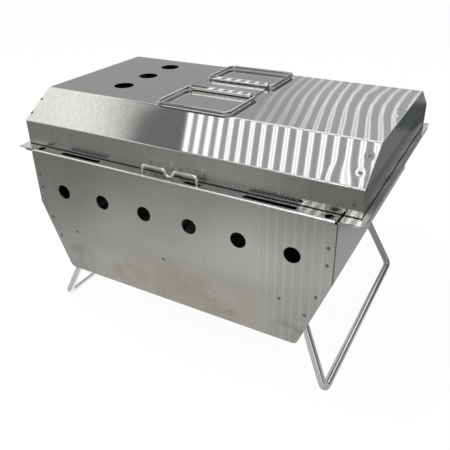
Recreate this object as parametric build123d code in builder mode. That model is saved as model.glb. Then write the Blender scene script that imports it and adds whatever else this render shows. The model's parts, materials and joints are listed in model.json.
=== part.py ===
from build123d import *
import os
from math import atan2, cos, degrees, radians, sin, tan

# A portable charcoal grill of bent stainless sheet: a trough with sloped ends on two plug-in rod
# legs, under a lift-off lid with bevelled sides and two folding wire bails.
# Millimetres. The origin is on the ground under the middle of the trough, X runs along the
# front, Y from front to back and Z up.
os.makedirs("parts", exist_ok=True)

# Trough: floor, sloped ends, upright ends and outward end flanges, bent from one sheet
floor_z = 71.0
slope_height = 92.0
upright_height = 74.0
body_half_length = 200.0
slope_inset = 35.0
body_half_depth = 158.5
body_sheet = 1.0
floor_bend = 8.0
kink_bend = 4.0
flange_width = 24.0
flange_setback = 1.5
flange_corner = 16.0
flange_lip = 3.5
rim_bend = 2.0
tab_width = 12.0
tab_end_gap = 6.0
edge_groove = 0.8

# Front and rear panels, whose top edges are bent inwards as ledges
ledge_width = 25.0
ledge_end_gap = 1.8
panel_corner = 8.0
vent_count = 6
vent_end_margin = 44.5
vent_diameter = 19.0
vent_drop = 50.3
ledge_slot_end_margin = 74.5
ledge_slot_length = 60.0
ledge_slot_width = 6.0
ledge_hole_end_margin = 11.0
ledge_hole_diameter = 9.0
ledge_line = 7.5
relief_diameter = 3.4

# Sliding damper behind the front panel and the wire that lifts it through the ledge
damper_sheet = 0.8
damper_travel = 22.0
damper_head_gap = 0.5
damper_end_cover = 5.5
damper_low_cover = 3.2
damper_flange = 11.0
damper_play = 0.25
guide_overlap = 4.2
guide_foot = 9.0
guide_height = 36.0
pull_wire = 3.5
pull_left_x = -32.0
pull_right_x = 40.0
pull_height = 9.5
pull_dip_angle = 37.0
pull_bend = 4.0
pull_hole_diameter = 5.2
pull_slot_play = 16.4

# Rails that carry the charcoal grate
rail_end_gap = 10.0
rail_leg = 11.0
rail_height = 63.0

# Charcoal grate: a slotted plate with turned-up ends
charcoal_end_gap = 13.0
charcoal_side_gap = 5.5
charcoal_sheet = 1.2
charcoal_lip = 8.0
charcoal_slot_width = 8.0
charcoal_end_margin = 18.0
charcoal_side_margin = 20.0
charcoal_bridge = 18.0
charcoal_columns = 15
charcoal_rows = 3

# Cooking grate of round rod, resting on the ledges and end flanges inside the lid
grate_end_gap = 4.5
grate_side_gap = 1.95
grate_rod = 6.0
grate_corner = 15.0
grate_bar = 3.5
grate_bar_count = 24
grate_bar_end_margin = 9.0
grate_tie_y = 68.0
rest_gap = 0.3

# Legs: one rod each, bent to a U, leaning inwards as it rises and plugged through the slope
leg_rod = 9.5
leg_wall_rise = 3.0
leg_wall_inset = 27.4
leg_bend = 7.5
leg_lean_x = 25.1
leg_lean_y = 11.7
leg_plug = 24.0
leg_play = 0.35
leg_seat_half = 9.0
leg_seat_foot = 12.0
leg_seat_side_gap = 11.5

# Lid
lid_overhang = 18.0
lid_setback = 15.5
lid_wall_height = 31.0
lid_bevel_height = 30.0
lid_bevel_depth = 48.0
lid_sheet = 1.0
lid_bend = 2.5
lid_end_inset = 0.5
lid_end_tab = 12.0
lap_gap = 0.05
lid_vent_end_margin = 84.8
lid_vent_y = 6.0
lid_vent_pitch = 53.4
lid_vent_count = 3
lid_vent_diameter = 25.5

# Bail bracket with rolled edges, and the two bails that turn in them
bail_wire = 4.0
bail_half_width = 48.0
front_bail_reach = 71.5
rear_bail_reach = 66.0
bail_hinge_y = 24.0
bail_corner = 8.0
bail_hinge_bend = 5.0
bail_tip = 15.0
bail_clearance = 0.15
bracket_sheet = 1.0
roll_mouth = 1.4

# Sizes that follow from those above: the trough
kink_z = floor_z + slope_height
rim_z = kink_z + upright_height
floor_half_length = body_half_length - slope_inset
slope_run = slope_inset / slope_height
flange_end_x = body_half_length + flange_width
flange_half_depth = body_half_depth - flange_setback
panel_inside_y = body_half_depth - body_sheet
trough_half_depth = panel_inside_y - edge_groove
ledge_y = -(body_half_depth - ledge_line)
ledge_half_length = body_half_length - ledge_end_gap
ledge_slot_x = body_half_length - ledge_slot_end_margin
ledge_hole_x = body_half_length - ledge_hole_end_margin


def slope_x(z):
    """Outside of the sloped end wall at height z."""
    return floor_half_length + (z - floor_z) * slope_run


# The vents, and the damper that covers them when it is lifted
vent_z = rim_z - vent_drop
vent_row_half = body_half_length - vent_end_margin
vent_pitch = 2 * vent_row_half / (vent_count - 1)
damper_half_length = vent_row_half + vent_diameter / 2 + damper_end_cover
damper_top_z = rim_z - body_sheet - damper_head_gap - damper_travel
damper_low_z = vent_z - vent_diameter / 2 - damper_travel - damper_low_cover
pull_radius = pull_wire / 2
pull_top_z = rim_z + pull_height

# The charcoal grate on its rails
rail_top_z = floor_z + rail_height
rail_half_length = floor_half_length - rail_end_gap
charcoal_half_length = slope_x(rail_top_z) - charcoal_end_gap
charcoal_half_depth = panel_inside_y - charcoal_side_gap

# The lid stands on the rim, and the cooking grate lies on the rim inside it
lid_half_length = body_half_length + lid_overhang
lid_half_depth = body_half_depth - lid_setback
lid_top_half_depth = lid_half_depth - lid_bevel_depth
lid_wall_z = rim_z + lid_wall_height
lid_top_z = lid_wall_z + lid_bevel_height
lid_end_x = lid_half_length - lid_end_inset
grate_half_length = lid_end_x - lid_sheet - grate_end_gap
grate_half_depth = lid_half_depth - 2 * lid_sheet - lap_gap - grate_side_gap


def round_section(route, diameter):
    """Round section at the start of a wire's route."""
    with BuildSketch(Plane(origin=route @ 0, z_dir=route % 0)) as section:
        Circle(diameter / 2)
    return section.sketch


def bent_sheet(plane, points, bends, thickness, side=Side.LEFT):
    """Section of a bent sheet: a cornered line with rounded bends, thickened to one side."""
    with BuildSketch(plane) as section:
        with BuildLine():
            FilletPolyline(*points, radius=bends)
            offset(amount=thickness, side=side)
        make_face()
    return section.sketch


# The legs' arms lean in X and, slightly, towards each other. They are pulled out along their
# mean direction, in the XZ plane.
lean_x = tan(radians(leg_lean_x))
lean_y = tan(radians(leg_lean_y))
leg_foot_z = leg_rod / 2
leg_wall_z = floor_z + leg_wall_rise
leg_wall_x = slope_x(leg_wall_z)
leg_foot_x = leg_wall_x + lean_x * (leg_wall_z - leg_foot_z)
leg_foot_y = body_half_depth - leg_wall_inset + lean_y * (leg_wall_z - leg_foot_z)
leg_up = Vector(-sin(radians(leg_lean_x)), 0, cos(radians(leg_lean_x)))
leg_tip = Vector(leg_wall_x, 0, leg_wall_z) + leg_up * leg_plug


def leg_arm_y(z):
    """Distance of an arm's middle from the XZ plane at height z."""
    return leg_foot_y - lean_y * (z - leg_foot_z)


# Trough
trough_line = [
    (-(flange_end_x - body_sheet), rim_z - body_sheet),
    (-body_half_length, rim_z - body_sheet),
    (-body_half_length, kink_z),
    (-floor_half_length, floor_z),
    (floor_half_length, floor_z),
    (body_half_length, kink_z),
    (body_half_length, rim_z - body_sheet),
    (flange_end_x - body_sheet, rim_z - body_sheet),
]
trough_bends = [rim_bend - body_sheet, kink_bend, floor_bend, floor_bend, kink_bend, rim_bend - body_sheet]
flange_inner_x = body_half_length + rim_bend
flange_strip = flange_end_x - flange_inner_x
upright_tab = [
    (body_half_length - edge_groove, kink_z + tab_end_gap),
    (body_half_length - edge_groove, rim_z - rim_bend - body_sheet),
    (body_half_length - tab_width, rim_z - rim_bend - body_sheet),
    (body_half_length - tab_width, kink_z + tab_end_gap),
]
slope_low_z = floor_z + floor_bend
slope_high_z = kink_z - tab_end_gap
slope_tab = [
    (slope_x(slope_low_z) - edge_groove, slope_low_z),
    (slope_x(slope_high_z) - edge_groove, slope_high_z),
    (slope_x(slope_high_z) - tab_width, slope_high_z),
    (slope_x(slope_low_z) - tab_width, slope_low_z),
]
leg_slot_low_y = leg_arm_y(leg_tip.Z)
leg_slot_high_y = leg_arm_y(leg_wall_z - leg_rod)
leg_slot_width = leg_rod + 2 * leg_play
leg_slot_length = leg_slot_high_y - leg_slot_low_y + leg_slot_width

with BuildPart() as trough:
    trough_plane = Plane.XZ.offset(-trough_half_depth)
    extrude(bent_sheet(trough_plane, trough_line, trough_bends, body_sheet), amount=2 * trough_half_depth)
    # Tabs behind the panels, to which these are spot-welded
    for side in (1, -1):
        with BuildSketch(Plane.XZ.offset(side * panel_inside_y)):
            for outline in (upright_tab, slope_tab):
                with BuildLine():
                    Polyline(*outline, close=True)
                make_face()
            mirror(about=Plane.YZ)
        extrude(amount=-side * (body_sheet + edge_groove))
    # End flanges with rounded corners and a lip turned down all round
    for side in (1, -1):
        middle_x = side * (flange_inner_x + flange_strip / 2)
        with BuildSketch(Plane.XY.offset(rim_z)):
            with Locations((middle_x, 0)):
                Rectangle(flange_strip, 2 * flange_half_depth)
            outer = vertices().group_by(Axis.X)[-1 if side > 0 else 0]
            fillet(outer, radius=flange_corner)
        extrude(amount=-flange_lip)
    for side in (1, -1):
        pocket = flange_strip - body_sheet
        with BuildSketch(Plane.XY.offset(rim_z - body_sheet)):
            with Locations((side * (flange_inner_x + pocket / 2), 0)):
                Rectangle(pocket, 2 * (flange_half_depth - body_sheet))
            outer = vertices().group_by(Axis.X)[-1 if side > 0 else 0]
            fillet(outer, radius=flange_corner - body_sheet)
        extrude(amount=-(flange_lip - body_sheet), mode=Mode.SUBTRACT)
    # Slots for the legs' arms
    for end in (1, -1):
        for side in (1, -1):
            origin = (end * leg_wall_x, side * (leg_slot_low_y + leg_slot_high_y) / 2, leg_wall_z)
            across = Plane(origin=origin, x_dir=(0, 1, 0), z_dir=(end * leg_up.X, 0, leg_up.Z))
            with BuildSketch(across):
                SlotOverall(leg_slot_length, leg_slot_width)
            extrude(amount=leg_rod, both=True, mode=Mode.SUBTRACT)

trough.part.label = "trough"
export_step(trough.part, "parts/trough.step")


# Front and rear panels
panel_outline = [
    (-body_half_length, rim_z),
    (-body_half_length, kink_z),
    (-floor_half_length, floor_z),
    (floor_half_length, floor_z),
    (body_half_length, kink_z),
    (body_half_length, rim_z),
]
panel_line = [
    (-body_half_depth, floor_z),
    (-body_half_depth, rim_z),
    (ledge_width - body_half_depth, rim_z),
]
pull_slot_length = pull_wire + pull_slot_play
pull_slot_x = pull_right_x - pull_slot_length / 2 + pull_wire


# What the two long panels share, at the front: ledge, its cut-outs and rounded lower corners
with BuildPart() as panel_blank:
    panel_plane = Plane.YZ.offset(-body_half_length)
    panel_section = bent_sheet(panel_plane, panel_line, rim_bend, body_sheet, side=Side.RIGHT)
    extrude(panel_section, amount=2 * body_half_length)
    with BuildSketch(Plane.XZ):
        with BuildLine():
            Polyline(*panel_outline, close=True)
        make_face()
        fillet(vertices().group_by(Axis.Y)[0], radius=panel_corner)
    extrude(amount=body_half_depth, mode=Mode.INTERSECT)
    with BuildSketch(Plane.XY.offset(rim_z)):
        # The ledge is a little shorter than the upright face
        end_strip = body_half_length - ledge_half_length
        with Locations((ledge_half_length, -body_half_depth)):
            Rectangle(end_strip, ledge_width, align=(Align.MIN, Align.MIN))
        with Locations((ledge_slot_x, ledge_y)):
            SlotOverall(ledge_slot_length, ledge_slot_width)
        with Locations((ledge_hole_x, ledge_y)):
            Circle(ledge_hole_diameter / 2)
        with Locations((ledge_half_length, -panel_inside_y)):
            Circle(relief_diameter / 2)
        mirror(about=Plane.YZ)
    extrude(amount=-(body_sheet + rim_bend), mode=Mode.SUBTRACT)


with BuildPart() as front_panel:
    add(panel_blank.part)
    with BuildSketch(Plane.XZ.offset(body_half_depth)):
        with Locations((0, vent_z)):
            with GridLocations(vent_pitch, 0, vent_count, 1):
                Circle(vent_diameter / 2)
    extrude(amount=-body_sheet, mode=Mode.SUBTRACT)
    # Round hole and slot that guide the damper's pull wire
    with BuildSketch(Plane.XY.offset(rim_z)):
        with Locations((pull_left_x, ledge_y)):
            Circle(pull_hole_diameter / 2)
        with Locations((pull_slot_x, ledge_y)):
            SlotOverall(pull_slot_length, pull_hole_diameter)
    extrude(amount=-body_sheet, mode=Mode.SUBTRACT)

front_panel.part.label = "front_panel"
export_step(front_panel.part, "parts/front_panel.step")

with BuildPart() as rear_panel:
    mirror(panel_blank.part, about=Plane.XZ)

rear_panel.part.label = "rear_panel"
export_step(rear_panel.part, "parts/rear_panel.step")


# Rails for the charcoal grate, spot-welded to the insides of the long panels
rail_line = [
    (-panel_inside_y, rail_top_z - rail_leg),
    (-panel_inside_y, rail_top_z),
    (rail_leg - panel_inside_y, rail_top_z),
]


with BuildPart() as front_grate_rail:
    rail_plane = Plane.YZ.offset(-rail_half_length)
    rail_section = bent_sheet(rail_plane, rail_line, rim_bend, body_sheet, side=Side.RIGHT)
    extrude(rail_section, amount=2 * rail_half_length)

front_grate_rail.part.label = "front_grate_rail"
export_step(front_grate_rail.part, "parts/front_grate_rail.step")

with BuildPart() as rear_grate_rail:
    mirror(front_grate_rail.part, about=Plane.XZ)

rear_grate_rail.part.label = "rear_grate_rail"
export_step(rear_grate_rail.part, "parts/rear_grate_rail.step")


# Damper plate, with holes that match the vents at rest and close them when it is lifted
damper_outer_y = -(panel_inside_y - damper_play)
damper_line = [
    (damper_outer_y, damper_low_z),
    (damper_outer_y, damper_top_z),
    (damper_outer_y + damper_flange, damper_top_z),
]
with BuildPart() as damper_plate:
    damper_plane = Plane.YZ.offset(-damper_half_length)
    damper_section = bent_sheet(damper_plane, damper_line, rim_bend, damper_sheet, side=Side.RIGHT)
    extrude(damper_section, amount=2 * damper_half_length)
    with BuildSketch(Plane.XZ.offset(-damper_outer_y)):
        with Locations((0, vent_z)):
            with GridLocations(vent_pitch, 0, vent_count, 1):
                Circle(vent_diameter / 2)
    extrude(amount=-damper_sheet, mode=Mode.SUBTRACT)

damper_plate.part.label = "damper_plate"
export_step(damper_plate.part, "parts/damper_plate.step")

# The pull wire: two loops, whose V-shaped dip between them rests on the ledge
pull_dip_x = (pull_left_x + pull_right_x) / 2
dip_lift = pull_bend * (1 / sin(radians(pull_dip_angle)) - 1)
pull_dip_z = rim_z + rest_gap + pull_radius - dip_lift
pull_dip_half_width = (pull_top_z - pull_dip_z) * tan(radians(pull_dip_angle))
with BuildPart() as damper_pull:
    with BuildLine(Plane.XZ.offset(-ledge_y)) as pull_path:
        FilletPolyline(
            (pull_left_x, damper_top_z),
            (pull_left_x, pull_top_z),
            (pull_dip_x - pull_dip_half_width, pull_top_z),
            (pull_dip_x, pull_dip_z),
            (pull_dip_x + pull_dip_half_width, pull_top_z),
            (pull_right_x, pull_top_z),
            (pull_right_x, damper_top_z),
            radius=pull_bend,
        )
    pull_route = pull_path.wires()[0]
    sweep(round_section(pull_route, pull_wire), path=pull_route)

damper_pull.part.label = "damper_pull"
export_step(damper_pull.part, "parts/damper_pull.step")

# Guides that hold the damper's ends against the panel: Z-shaped clips, welded on by a foot
damper_inner_y = damper_outer_y + damper_sheet
guide_inner_x = damper_half_length - guide_overlap
guide_web_x = damper_half_length + damper_play
guide_line = [
    (guide_inner_x, damper_inner_y + damper_play),
    (guide_web_x, damper_inner_y + damper_play),
    (guide_web_x, -panel_inside_y),
    (guide_web_x + guide_foot, -panel_inside_y),
]


with BuildPart() as right_damper_guide:
    with BuildSketch(Plane.XY.offset(vent_z - guide_height / 2)):
        with BuildLine():
            Polyline(*guide_line)
            offset(amount=damper_sheet, side=Side.LEFT, kind=Kind.INTERSECTION)
        make_face()
    extrude(amount=guide_height)

right_damper_guide.part.label = "right_damper_guide"
export_step(right_damper_guide.part, "parts/right_damper_guide.step")

with BuildPart() as left_damper_guide:
    mirror(right_damper_guide.part, about=Plane.YZ)

left_damper_guide.part.label = "left_damper_guide"
export_step(left_damper_guide.part, "parts/left_damper_guide.step")


# Charcoal grate, whose slots leave a margin all round and bridges between the rows
charcoal_slots_half_x = charcoal_half_length - charcoal_end_margin
charcoal_slots_half_y = charcoal_half_depth - charcoal_side_margin
charcoal_pitch_x = (2 * charcoal_slots_half_x - charcoal_slot_width) / (charcoal_columns - 1)
charcoal_pitch_y = (2 * charcoal_slots_half_y + charcoal_bridge) / charcoal_rows
with BuildPart() as charcoal_grate:
    charcoal_line = [
        (-charcoal_half_length, rail_top_z + charcoal_lip),
        (-charcoal_half_length, rail_top_z),
        (charcoal_half_length, rail_top_z),
        (charcoal_half_length, rail_top_z + charcoal_lip),
    ]
    charcoal_plane = Plane.XZ.offset(-charcoal_half_depth)
    charcoal_section = bent_sheet(charcoal_plane, charcoal_line, rim_bend, charcoal_sheet)
    extrude(charcoal_section, amount=2 * charcoal_half_depth)
    with BuildSketch(Plane.XY.offset(rail_top_z)):
        with GridLocations(charcoal_pitch_x, charcoal_pitch_y, charcoal_columns, charcoal_rows):
            Rectangle(charcoal_slot_width, charcoal_pitch_y - charcoal_bridge)
    extrude(amount=charcoal_sheet, mode=Mode.SUBTRACT)

charcoal_grate.part.label = "charcoal_grate"
export_step(charcoal_grate.part, "parts/charcoal_grate.step")


# Cooking grate: frame, ties under the bars, and bars
grate_frame_x = grate_half_length - grate_rod / 2
grate_frame_y = grate_half_depth - grate_rod / 2
grate_frame_z = rim_z + rest_gap + grate_rod / 2
grate_bar_z = grate_frame_z + (grate_rod + grate_bar) / 2
grate_bar_pitch = 2 * (grate_frame_x - grate_bar_end_margin) / (grate_bar_count - 1)
with BuildPart() as cooking_grate_frame:
    with BuildSketch(Plane.XY.offset(grate_frame_z)) as frame_outline:
        RectangleRounded(2 * grate_frame_x, 2 * grate_frame_y, grate_corner)
    frame_route = frame_outline.sketch.faces()[0].outer_wire()
    sweep(round_section(frame_route, grate_rod), path=frame_route)

cooking_grate_frame.part.label = "cooking_grate_frame"
export_step(cooking_grate_frame.part, "parts/cooking_grate_frame.step")

with BuildPart() as cooking_grate_bars:
    with BuildSketch(Plane.XZ.offset(-grate_frame_y)):
        with Locations((0, grate_bar_z)):
            with GridLocations(grate_bar_pitch, 0, grate_bar_count, 1):
                Circle(grate_bar / 2)
    extrude(amount=2 * grate_frame_y)

cooking_grate_bars.part.label = "cooking_grate_bars"
export_step(cooking_grate_bars.part, "parts/cooking_grate_bars.step")

grate_tie_half_length = grate_frame_x - grate_rod / 2
with BuildPart() as cooking_grate_ties:
    with BuildSketch(Plane.YZ.offset(-grate_tie_half_length)):
        with Locations((0, grate_bar_z - grate_bar)):
            with GridLocations(2 * grate_tie_y, 0, 2, 1):
                Circle(grate_bar / 2)
    extrude(amount=2 * grate_tie_half_length)

cooking_grate_ties.part.label = "cooking_grate_ties"
export_step(cooking_grate_ties.part, "parts/cooking_grate_ties.step")


# Legs, each a U of rod from tip to tip by way of its bar on the ground
leg_tip_y = leg_arm_y(leg_tip.Z)
with BuildPart() as right_leg:
    with BuildLine() as leg_path:
        FilletPolyline(
            (leg_tip.X, -leg_tip_y, leg_tip.Z),
            (leg_foot_x, -leg_foot_y, leg_foot_z),
            (leg_foot_x, leg_foot_y, leg_foot_z),
            (leg_tip.X, leg_tip_y, leg_tip.Z),
            radius=leg_bend,
        )
    leg_route = leg_path.wires()[0]
    sweep(round_section(leg_route, leg_rod), path=leg_route)

right_leg.part.label = "right_leg"
export_step(right_leg.part, "parts/right_leg.step")

with BuildPart() as left_leg:
    mirror(right_leg.part, about=Plane.YZ)

left_leg.part.label = "left_leg"
export_step(left_leg.part, "parts/left_leg.step")


# Leg seats: a guard inside each end that the arms' tips butt against. From the foot on the
# floor it goes up, across the arms and up the slope.
seat_along = Vector(leg_up.Z, 0, -leg_up.X)
seat_stop = leg_tip + leg_up * (rest_gap + leg_rod / 2 * sin(radians(leg_lean_y)))
seat_low = seat_stop - seat_along * leg_seat_half
slope_sheet = body_sheet * (1 + slope_run**2) ** 0.5
seat_reach = (slope_x(seat_stop.Z) - slope_sheet - seat_stop.X) / (seat_along.X - seat_along.Z * slope_run)
seat_high = seat_stop + seat_along * seat_reach
seat_top = seat_high + Vector(slope_run, 0, 1).normalized() * leg_seat_foot
seat_line = [
    (seat_low.X - leg_seat_foot, floor_z + body_sheet),
    (seat_low.X, floor_z + body_sheet),
    (seat_low.X, seat_low.Z),
    (seat_high.X, seat_high.Z),
    (seat_top.X, seat_top.Z),
]
leg_seat_half_depth = panel_inside_y - leg_seat_side_gap
with BuildPart() as right_leg_seat:
    seat_plane = Plane.XZ.offset(-leg_seat_half_depth)
    seat_section = bent_sheet(seat_plane, seat_line, rim_bend, body_sheet)
    extrude(seat_section, amount=2 * leg_seat_half_depth)

right_leg_seat.part.label = "right_leg_seat"
export_step(right_leg_seat.part, "parts/right_leg_seat.step")

with BuildPart() as left_leg_seat:
    mirror(right_leg_seat.part, about=Plane.YZ)

left_leg_seat.part.label = "left_leg_seat"
export_step(left_leg_seat.part, "parts/left_leg_seat.step")


# Lid shell: front wall, bevel, top, bevel and rear wall bent from one sheet
bevel_angle = atan2(lid_top_z - lid_wall_z, lid_half_depth - lid_top_half_depth)


def lid_line(inset):
    """Outline of the lid's section, moved inwards by inset."""
    shoulder = inset * tan((radians(90) - bevel_angle) / 2)
    brow = inset * tan(bevel_angle / 2)
    half = [
        (lid_half_depth - inset, rim_z),
        (lid_half_depth - inset, lid_wall_z - shoulder),
        (lid_top_half_depth - brow, lid_top_z - inset),
    ]
    return [(-y, z) for y, z in half] + half[::-1]


with BuildPart() as lid_shell:
    lid_plane = Plane.YZ.offset(-lid_half_length)
    lid_section = bent_sheet(lid_plane, lid_line(0), lid_bend, lid_sheet, side=Side.RIGHT)
    extrude(lid_section, amount=2 * lid_half_length)
    with BuildSketch(Plane.XY.offset(lid_top_z)):
        with Locations((lid_vent_end_margin - lid_half_length, lid_vent_y)):
            with GridLocations(0, lid_vent_pitch, 1, lid_vent_count):
                Circle(lid_vent_diameter / 2)
    extrude(amount=-lid_sheet, mode=Mode.SUBTRACT)

lid_shell.part.label = "lid_shell"
export_step(lid_shell.part, "parts/lid_shell.step")


# Lid ends: plates whose tabs lie under the shell, spot-welded to it. Each is a shallow tray,
# open towards the middle and below.
with BuildPart() as lid_right_end:
    for inset, start, mode in (
        (lid_sheet + lap_gap, lid_end_x, Mode.ADD),
        (2 * lid_sheet + lap_gap, lid_end_x - lid_sheet, Mode.SUBTRACT),
    ):
        with BuildSketch(Plane.YZ.offset(start)):
            with BuildLine():
                Polyline(*lid_line(inset), close=True)
            make_face()
            corners = [v for group in vertices().group_by(Axis.Y)[1:] for v in group]
            fillet(corners, radius=max(lid_bend - inset, lap_gap))
        extrude(amount=-lid_end_tab, mode=mode)

lid_right_end.part.label = "lid_right_end"
export_step(lid_right_end.part, "parts/lid_right_end.step")

with BuildPart() as lid_left_end:
    mirror(lid_right_end.part, about=Plane.YZ)

lid_left_end.part.label = "lid_left_end"
export_step(lid_left_end.part, "parts/lid_left_end.step")


# Bail bracket: a strip on the lid whose front and rear edges are rolled into hinge tubes
roll_inside = bail_wire / 2 + bail_clearance
roll_outside = roll_inside + bracket_sheet
bail_z = lid_top_z + roll_outside
bracket_half_length = bail_half_width - bail_hinge_bend - bracket_sheet
with BuildPart() as bail_bracket:
    with BuildSketch(Plane.YZ.offset(-bracket_half_length)):
        with Locations((bail_hinge_y, bail_z)):
            Circle(roll_outside)
            Circle(roll_inside, mode=Mode.SUBTRACT)
        # Mouth of the roll, above the strip
        with Locations((bail_hinge_y, lid_top_z + bracket_sheet)):
            Rectangle(2 * roll_outside, roll_mouth, align=(Align.MAX, Align.MIN), mode=Mode.SUBTRACT)
        with Locations((bail_hinge_y, lid_top_z)):
            Rectangle(bail_hinge_y, bracket_sheet, align=(Align.MAX, Align.MIN))
        with Locations((bail_hinge_y, bail_z)):
            Circle(roll_inside, mode=Mode.SUBTRACT)
        mirror(about=Plane.YZ)
    extrude(amount=2 * bracket_half_length)

bail_bracket.part.label = "bail_bracket"
export_step(bail_bracket.part, "parts/bail_bracket.step")


# Bails, lying flat on the lid with their turned-in tips in the bracket's rolled edges
bail_tip_x = bail_half_width - bail_hinge_bend - bail_tip


def bail_route(side, reach):
    """Route of a bail that lies to the front (side -1) or rear (1) of its hinge."""
    hinge_y = side * bail_hinge_y
    outer_y = side * (bail_hinge_y + reach)
    with BuildLine(Plane.XY.offset(bail_z)) as path:
        FilletPolyline(
            (bail_tip_x, hinge_y),
            (bail_half_width, hinge_y),
            (bail_half_width, outer_y),
            (-bail_half_width, outer_y),
            (-bail_half_width, hinge_y),
            (-bail_tip_x, hinge_y),
            radius=[bail_hinge_bend, bail_corner, bail_corner, bail_hinge_bend],
        )
    return path.wires()[0]


with BuildPart() as front_bail:
    front_route = bail_route(-1, front_bail_reach)
    sweep(round_section(front_route, bail_wire), path=front_route)

front_bail.part.label = "front_bail"
export_step(front_bail.part, "parts/front_bail.step")

with BuildPart() as rear_bail:
    rear_route = bail_route(1, rear_bail_reach)
    sweep(round_section(rear_route, bail_wire), path=rear_route)

rear_bail.part.label = "rear_bail"
export_step(rear_bail.part, "parts/rear_bail.step")
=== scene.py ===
"""Portable charcoal grill of bent stainless sheet: finishes, weld marks, studio and camera.

Metres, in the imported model's frame: the origin is on the ground under the trough's middle, X runs
along the front to the right, Y from the front panel to the back and Z up. A pair of places is
where a fade starts and where it ends.
"""
import json
from math import radians

import bpy
from mathutils import Matrix, Vector


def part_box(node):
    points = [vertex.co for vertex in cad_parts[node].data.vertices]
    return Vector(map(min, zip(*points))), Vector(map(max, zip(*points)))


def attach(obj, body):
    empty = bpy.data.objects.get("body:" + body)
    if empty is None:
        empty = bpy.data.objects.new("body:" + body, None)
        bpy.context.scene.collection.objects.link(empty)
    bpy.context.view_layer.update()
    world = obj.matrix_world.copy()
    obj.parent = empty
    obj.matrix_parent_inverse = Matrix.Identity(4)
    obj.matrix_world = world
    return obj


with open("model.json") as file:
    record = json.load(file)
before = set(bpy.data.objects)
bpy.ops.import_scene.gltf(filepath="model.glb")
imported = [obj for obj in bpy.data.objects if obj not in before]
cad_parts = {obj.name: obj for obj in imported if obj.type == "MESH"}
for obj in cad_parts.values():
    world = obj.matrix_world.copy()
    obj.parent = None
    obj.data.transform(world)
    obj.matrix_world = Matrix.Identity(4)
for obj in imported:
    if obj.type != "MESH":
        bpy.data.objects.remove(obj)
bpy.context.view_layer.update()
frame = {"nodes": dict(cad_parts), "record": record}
nodes = frame["nodes"]

# Places on the grill that finishes and weld marks refer to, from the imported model
panel_low, panel_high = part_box("front_panel")
_, lid_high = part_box("lid_shell")
bracket_low, bracket_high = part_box("bail_bracket")
FLOOR_SHEET_Z = panel_low.z
RIM_Z = panel_high.z
PANEL_OUT_Y = -panel_low.y
PANEL_HALF_LENGTH = panel_high.x
LID_HALF_LENGTH = lid_high.x
LID_HALF_DEPTH = lid_high.y
LID_TOP_Z = bracket_low.z
BRACKET_HALF_LENGTH = bracket_high.x
# Folds that no box gives: the trough's kink, and the lid's folds above its walls and at its top
KINK_Z = 0.163
LID_WALL_Z = 0.268
LID_TOP_HALF_DEPTH = 0.095


def node(tree, kind, inputs=None, **settings):
    """A new node. Inputs are sockets' values, or the outputs that are linked to them."""
    made = tree.nodes.new(kind)
    for name, value in settings.items():
        setattr(made, name, value)
    for key, value in (inputs or {}).items():
        if isinstance(value, bpy.types.NodeSocket):
            tree.links.new(value, made.inputs[key])
        else:
            made.inputs[key].default_value = value
    return made


def math(tree, operation, first, second=0.0, clamp=False):
    """Output of one sum on numbers or outputs."""
    inputs = {0: first, 1: second}
    return node(tree, "ShaderNodeMath", inputs, operation=operation, use_clamp=clamp).outputs[0]


def difference(tree, first, second):
    """The first less the second."""
    return math(tree, "SUBTRACT", first, second)


def fade(tree, value, start, end, low=0.0, high=1.0):
    """A smooth step: low where value is at start, high where it is at end."""
    inputs = {"Value": value, "From Min": start, "From Max": end, "To Min": low, "To Max": high}
    made = node(tree, "ShaderNodeMapRange", inputs, interpolation_type="SMOOTHSTEP")
    return made.outputs["Result"]


def inverse(tree, value):
    """1 where value is 0, and 0 where it is 1."""
    return fade(tree, value, 1.0, 0.0)


def ramp(tree, value, start, end):
    """A straight ramp: 0 where value is at start, 1 where it is at end."""
    inputs = {"Value": value, "From Min": start, "From Max": end}
    return node(tree, "ShaderNodeMapRange", inputs).outputs["Result"]


def product(tree, *factors):
    """All factors multiplied."""
    result = factors[0]
    for factor in factors[1:]:
        result = math(tree, "MULTIPLY", result, factor)
    return result


def total(tree, *terms):
    """All terms added up."""
    result = terms[0]
    for term in terms[1:]:
        result = math(tree, "ADD", result, term)
    return result


def noise(tree, place, scale, stretch=(1.0, 1.0, 1.0), detail=2.0, roughness=0.5, shift=(0, 0, 0)):
    """Noise from 0 to 1: its features per metre, and how much longer they are along each axis."""
    squeeze = tuple(1 / s for s in stretch)
    placing = {"Vector": place, "Location": shift, "Scale": squeeze}
    moved = node(tree, "ShaderNodeMapping", placing).outputs[0]
    inputs = {"Vector": moved, "Scale": scale, "Detail": detail, "Roughness": roughness}
    return node(tree, "ShaderNodeTexNoise", inputs).outputs["Fac"]


def swing(tree, value, amount):
    """Noise turned to a change of up to half of amount either way."""
    return product(tree, difference(tree, value, 0.5), amount)


def bars(tree, turns, share, blur):
    """1 inside each bar, whose share of every turn lies about the turn's middle, else 0."""
    middle = math(tree, "ABSOLUTE", difference(tree, math(tree, "FRACT", turns), 0.5))
    inside = difference(tree, product(tree, share, 0.5), middle)
    return fade(tree, inside, -blur, blur)


def blend_colours(tree, factor, first, second):
    """Colour between first and second, by factor."""
    mix = node(tree, "ShaderNodeMix", {0: factor}, data_type="RGBA")
    for socket, value in ((mix.inputs[6], first), (mix.inputs[7], second)):
        if isinstance(value, bpy.types.NodeSocket):
            tree.links.new(value, socket)
        else:
            socket.default_value = (*value, 1.0)
    return mix.outputs[2]


# Bare steel from dark to light, a painted shadow for gaps and hollows, and a painted highlight
STEEL_DARK = (0.30, 0.30, 0.29)
STEEL_LIGHT = (0.86, 0.86, 0.84)
PAINTED_GAP_SHADOW = (0.012, 0.012, 0.011)
PAINTED_HIGHLIGHT_STEEL = (0.97, 0.97, 0.96)


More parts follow.
